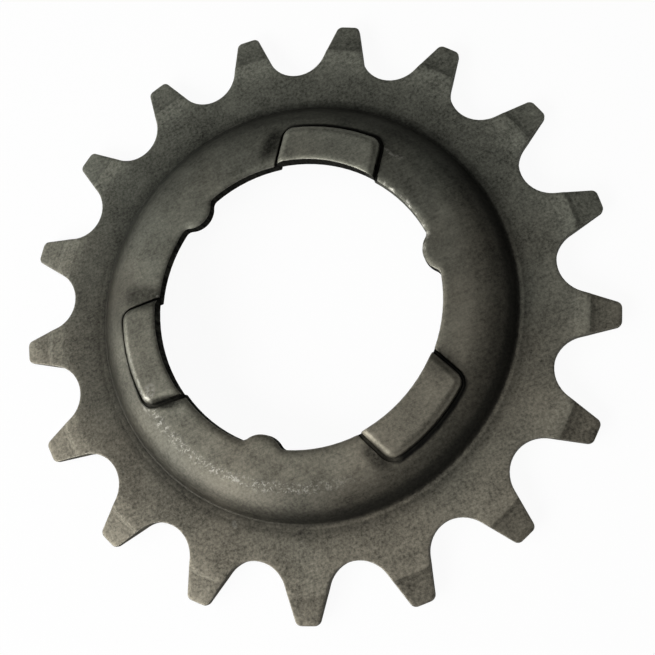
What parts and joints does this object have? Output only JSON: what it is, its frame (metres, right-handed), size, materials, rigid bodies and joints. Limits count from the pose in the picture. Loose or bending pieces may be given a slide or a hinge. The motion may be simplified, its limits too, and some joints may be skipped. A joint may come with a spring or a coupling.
{
  "type": "bicycle sprocket",
  "caption": "A dished steel hub gear sprocket for a half inch bicycle chain, with a lugged bore and raised pads on its inner ring.",
  "frame": {"origin": "on the axis of the bore, in the plane of the back face of the toothed rim", "axes": "+Z along the axis towards the raised inner ring; +X through the middle of one tooth and of the drive lug in line with it"},
  "size_m": [0.0743, 0.0746, 0.006],
  "materials": {
    "steel": "dark tumbled steel with worn edges"
  },
  "bodies": {
    "root": {"sprocket": "steel"}
  },
  "joints": []
}
